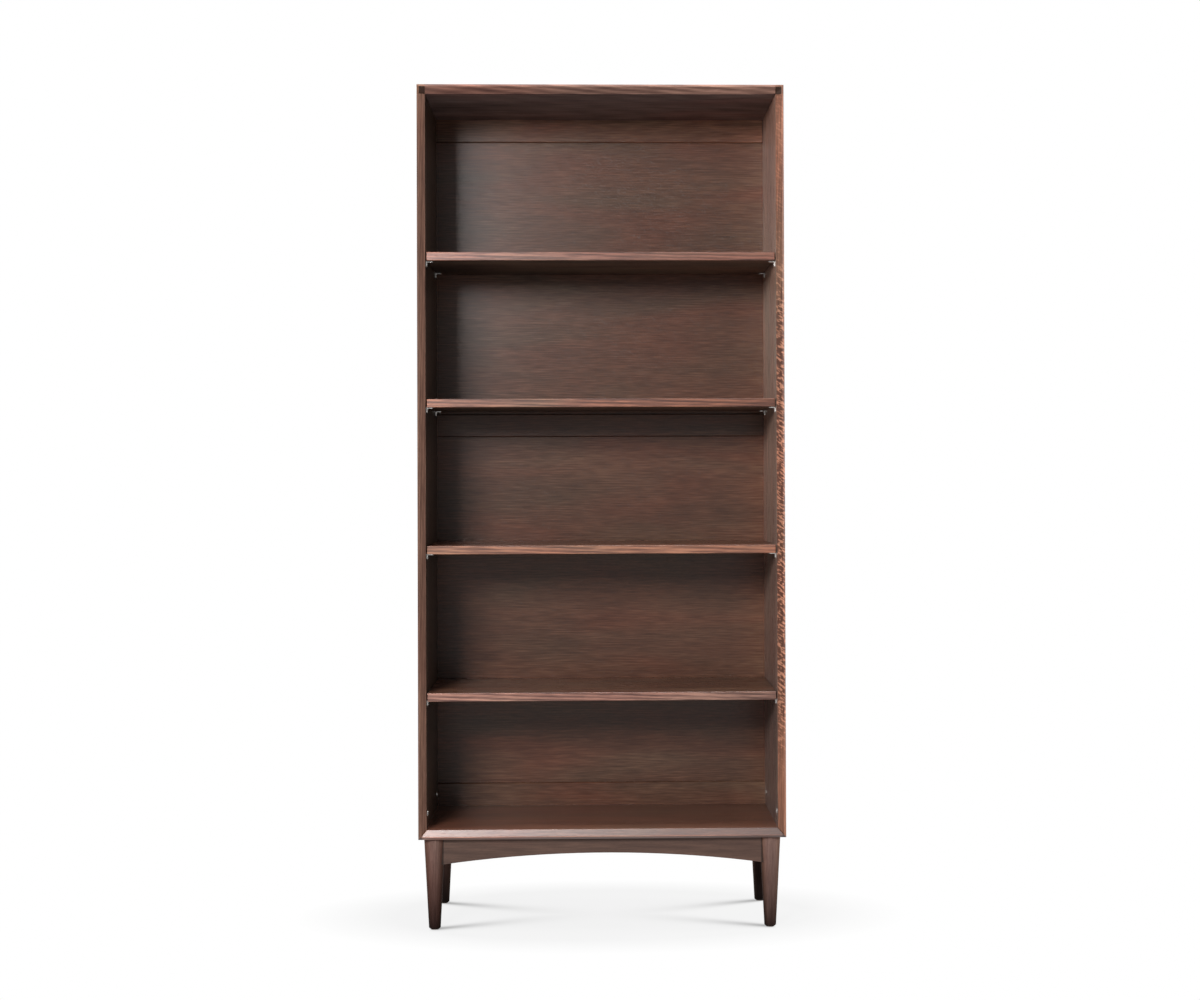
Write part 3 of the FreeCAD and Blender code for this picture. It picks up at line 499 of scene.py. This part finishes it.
innerWood = {
    "pale": (0.50, 0.34, 0.20),
    "deep": (0.36, 0.22, 0.12),
    "grainScale": (220, 220, 9),
    "grainDetail": 4,
    "grainEdge": (0.3, 0.7),
    "fleck": (0.22, 0.12, 0.06),
    "fleckScale": (700, 700, 60),
    "fleckDetail": 1,
    "fleckEdge": (0.6, 0.7),
    "fleckShare": 0.3,
    "roughness": (0.62, 0.72),
    "bumpStrength": 0.3,
    "bumpDepth": 0.0002,
    "ior": 1.45,
}


def innerWoodPaint():
    paint = startPaint("innerWood", {"IOR": innerWood["ior"]})
    grain = paint.noise(paint.place(scale=innerWood["grainScale"]), innerWood["grainDetail"])
    flecks = paint.noise(paint.place(scale=innerWood["fleckScale"]), innerWood["fleckDetail"])
    flecks = innerWood["fleckShare"] * paint.clamp(flecks, *innerWood["fleckEdge"])
    colour = paint.ramp(paint.clamp(grain, *innerWood["grainEdge"]),
                        (0.0, innerWood["deep"]), (1.0, innerWood["pale"]))
    return finishPaint(paint, paint.mix(flecks, colour, innerWood["fleck"]),
                       between(*innerWood["roughness"], grain),
                       paint.bump(grain, innerWood["bumpStrength"], innerWood["bumpDepth"]))


nickel = {
    "colour": (0.80, 0.78, 0.75),
    "haze": (0.58, 0.56, 0.53),
    "hazeScale": (300, 300, 300),
    "hazeDetail": 3,
    "hazeShare": 0.35,
    "roughness": (0.18, 0.32),
    "markScale": (2500, 400, 2500),
    "markDetail": 2,
    "bumpStrength": 0.25,
    "bumpDepth": 0.00003,
}


def nickelPaint():
    paint = startPaint("nickel", {"Metallic": 1.0})
    haze = paint.noise(paint.place(scale=nickel["hazeScale"]), nickel["hazeDetail"])
    marks = paint.noise(paint.place(scale=nickel["markScale"]), nickel["markDetail"])
    return finishPaint(paint, paint.mix(nickel["hazeShare"] * haze, nickel["colour"], nickel["haze"]),
                       between(*nickel["roughness"], haze),
                       paint.bump(marks, nickel["bumpStrength"], nickel["bumpDepth"]))


zincSteel = {
    "colour": (0.55, 0.56, 0.57),
    "bloom": (0.50, 0.47, 0.38),
    "bloomScale": (120, 120, 120),
    "bloomDetail": 5,
    "bloomDistortion": 0.6,
    "bloomEdge": (0.4, 0.7),
    "roughness": (0.38, 0.58),
    "bumpStrength": 0.2,
    "bumpDepth": 0.00005,
}


def zincPaint():
    paint = startPaint("zincSteel", {"Metallic": 1.0})
    bloom = paint.noise(paint.place(scale=zincSteel["bloomScale"]), zincSteel["bloomDetail"],
                        zincSteel["bloomDistortion"])
    dulled = paint.clamp(bloom, *zincSteel["bloomEdge"])
    return finishPaint(paint, paint.mix(dulled, zincSteel["colour"], zincSteel["bloom"]),
                       between(*zincSteel["roughness"], bloom),
                       paint.bump(bloom, zincSteel["bumpStrength"], zincSteel["bumpDepth"]))


nylon = {
    "colour": (0.16, 0.12, 0.10),
    "worn": (0.09, 0.07, 0.06),
    "scuffScale": (900, 900, 900),
    "scuffDetail": 4,
    "scuffShare": 0.4,
    "roughness": (0.55, 0.75),
    "bumpStrength": 0.3,
    "bumpDepth": 0.00006,
    "ior": 1.53,
}


def nylonPaint():
    paint = startPaint("nylon", {"IOR": nylon["ior"]})
    scuffs = paint.noise(paint.place(scale=nylon["scuffScale"]), nylon["scuffDetail"])
    return finishPaint(paint, paint.mix(nylon["scuffShare"] * scuffs, nylon["colour"], nylon["worn"]),
                       between(*nylon["roughness"], scuffs),
                       paint.bump(scuffs, nylon["bumpStrength"], nylon["bumpDepth"]))


slots = {part["node"]: part["material_slot"] for part in frame["record"]["subparts"]}
otherFinishes = {"inner_wood": innerWoodPaint(), "nickel": nickelPaint(),
                 "zinc_steel": zincPaint(), "nylon": nylonPaint()}
for node in frame["nodes"]:
    if slots[node] in otherFinishes:
        give(node, otherFinishes[slots[node]])
print("metal, nylon and inner wood given")


studio = {
    "floorWidth": 14.0,
    "floorColour": (0.40, 0.40, 0.40),
    "floorRoughness": 0.9,
    "floorLift": 0.86,                # what the camera sees on top of the floor's own shade
    "ovalStretch": (0.9, 1.6, 1.0),   # the floor turns white outside an oval round the case
    "ovalEdge": (0.42, 0.62),
    "footShadowLength": 0.07,         # over which it fades to half
    "footShadowWidth": 0.012,
    "footShadowSpread": 0.1,          # how fast it widens
    "footShadowDrift": 0.40,          # how fast it leans towards the middle
    "footShadowDepth": 0.62,
    "footShadowStart": (-0.012, 0.006),
    "ambient": 0.025,
}


def seenDirectly(paint):
    # camera rays, and the rays that metal and glass send on
    path = paint.add("LightPath")
    seen = Value(paint, path.outputs["Is Camera Ray"]) + Value(paint, path.outputs["Is Glossy Ray"])
    return paint.clamp(seen + Value(paint, path.outputs["Is Transmission Ray"]), 0.0, 1.0)


def footShadow(paint):
    # a painted soft shadow runs in from each foot, the same on all four sides
    low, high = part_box("front_left_leg")
    footX, footY = (abs(low[side] + high[side]) / 2 for side in (0, 1))
    inward = footX - abs(paint.coordinate("X"))
    aside = abs(paint.coordinate("Y")) - footY + studio["footShadowDrift"] * inward
    spread = aside / (studio["footShadowWidth"] + studio["footShadowSpread"] * inward)
    fade = 0.5 ** (inward / studio["footShadowLength"] + spread * spread)
    return studio["footShadowDepth"] * fade * paint.clamp(inward, *studio["footShadowStart"])


def makeFloor():
    mesh = bpy.data.meshes.new("floor")
    shape = bmesh.new()
    bmesh.ops.create_grid(shape, x_segments=1, y_segments=1, size=studio["floorWidth"] / 2)
    shape.to_mesh(mesh)
    shape.free()
    floor = bpy.data.objects.new("floor", mesh)
    bpy.context.collection.objects.link(floor)

    paint = startPaint("floorPaint", {"Base Color": studio["floorColour"],
                                      "Roughness": studio["floorRoughness"], "Specular IOR Level": 0.0})
    # white, darkened by the painted foot shadows
    shade = paint.dim(white, 1.0 - footShadow(paint))
    lit = paint.add("Emission", None, {"Color": shade, "Strength": 1.0})
    away = paint.clamp(paint.length(paint.place(scale=studio["ovalStretch"])), *studio["ovalEdge"])
    share = seenDirectly(paint) * between(studio["floorLift"], 1.0, away)
    blend = paint.add("MixShader", None, {"Fac": share, 1: paint.shader.outputs[0], 2: lit.outputs[0]})
    # clear from below, so that the underside can be looked at
    below = paint.add("NewGeometry").outputs["Backfacing"]
    blend = paint.add("MixShader", None, {"Fac": below, 1: blend.outputs[0],
                                          2: paint.add("BsdfTransparent").outputs[0]})
    paint.feed(paint.nodes["Material Output"], {"Surface": blend.outputs[0]})
    mesh.materials.append(paint.material)


def makeWorld():
    world = bpy.data.worlds.new("studioWorld")
    world.use_nodes = True
    paint = Paint(world.node_tree)
    room = paint.add("Background", None, {"Color": white, "Strength": studio["ambient"]})
    backdrop = paint.add("Background", None, {"Color": white, "Strength": 1.0})
    blend = paint.add("MixShader", None, {"Fac": seenDirectly(paint), 1: room.outputs[0],
                                          2: backdrop.outputs[0]})
    paint.feed(paint.nodes["World Output"], {"Surface": blend.outputs[0]})
    bpy.context.scene.world = world


lamps = {
    # name: place, aim, width, height, watts
    "key": ((-1.62, -4.5, 2.2), (0.0, 0.0, 1.0), 1.35, 1.0, 195),
    "overhead": ((0.0, -0.4, 4.4), (0.0, -0.2, 1.8), 2.4, 1.6, 100),
    "rearLeft": ((-2.8, 2.4, 1.5), (0.0, 0.1, 0.9), 1.4, 1.4, 60),
    "right": ((3.2, 0.3, 1.5), (0.0, 0.0, 0.9), 0.8, 1.6, 100),
}


def makeLamp(name, place, aim, width, height, watts):
    lamp = bpy.data.lights.new(name, "AREA")
    lamp.shape = "RECTANGLE"
    lamp.size = width
    lamp.size_y = height
    lamp.energy = watts
    holder = bpy.data.objects.new(name, lamp)
    holder.location = place
    holder.rotation_euler = (Vector(aim) - Vector(place)).to_track_quat("-Z", "Y").to_euler()
    holder.visible_camera = False
    bpy.context.collection.objects.link(holder)


lens = {
    "focal": 61.5,
    "sensor": 36.0,
    "place": (-0.0238, -4.6345, 0.9927),
    "yaw": 0.0264,
    "pitch": 0.0074,
    "roll": 0.0032,
    "shiftX": -0.0373,
    "shiftY": -0.0344,
}


def makeCamera():
    data = bpy.data.cameras.new("camera")
    data.lens = lens["focal"]
    data.sensor_width = lens["sensor"]
    data.shift_x = lens["shiftX"]
    data.shift_y = lens["shiftY"]
    camera = bpy.data.objects.new("camera", data)
    # level and looking along +Y, then pitched, yawed and rolled
    camera.matrix_world = (Matrix.Translation(lens["place"])
                           @ Matrix.Rotation(-lens["yaw"], 4, "Z")
                           @ Matrix.Rotation(math.pi / 2 + lens["pitch"], 4, "X")
                           @ Matrix.Rotation(-lens["roll"], 4, "Z"))
    bpy.context.collection.objects.link(camera)
    bpy.context.scene.camera = camera


makeFloor()
makeWorld()
for lampName, facts in lamps.items():
    makeLamp(lampName, *facts)
makeCamera()
bpy.context.scene.view_settings.view_transform = "Standard"
print("studio ready")
